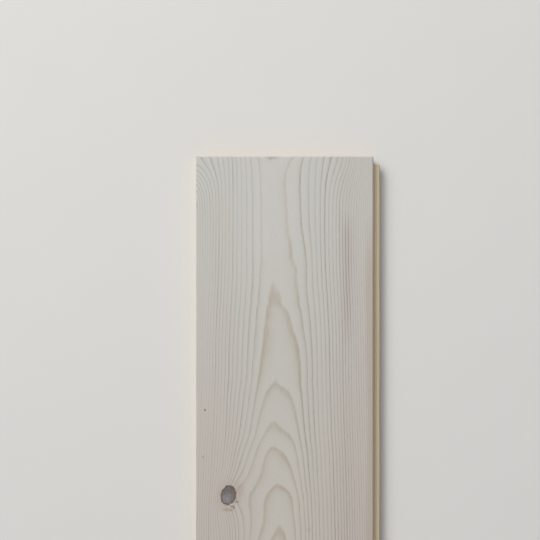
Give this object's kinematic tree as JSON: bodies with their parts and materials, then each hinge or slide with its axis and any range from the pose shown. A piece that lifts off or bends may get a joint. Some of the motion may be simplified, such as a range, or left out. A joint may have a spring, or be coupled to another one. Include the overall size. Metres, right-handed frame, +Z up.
{
  "type": "pine floorboard",
  "caption": "Solid pine floorboard with a bevelled white-oiled face, tongue and groove on its long edges and matched ends, and a scooped back.",
  "frame": {"origin": "on the underside, below the centre of the face as it is laid", "axes": "+X across the board towards the side tongue, +Y along the board towards the end groove, +Z up from the underside to the face"},
  "size_m": [0.1685, 1.8065, 0.02],
  "materials": {
    "white_oiled_pine": "planed pine, white-oiled on the face, matt"
  },
  "bodies": {
    "root": {"pine_board": "white_oiled_pine"}
  },
  "joints": []
}
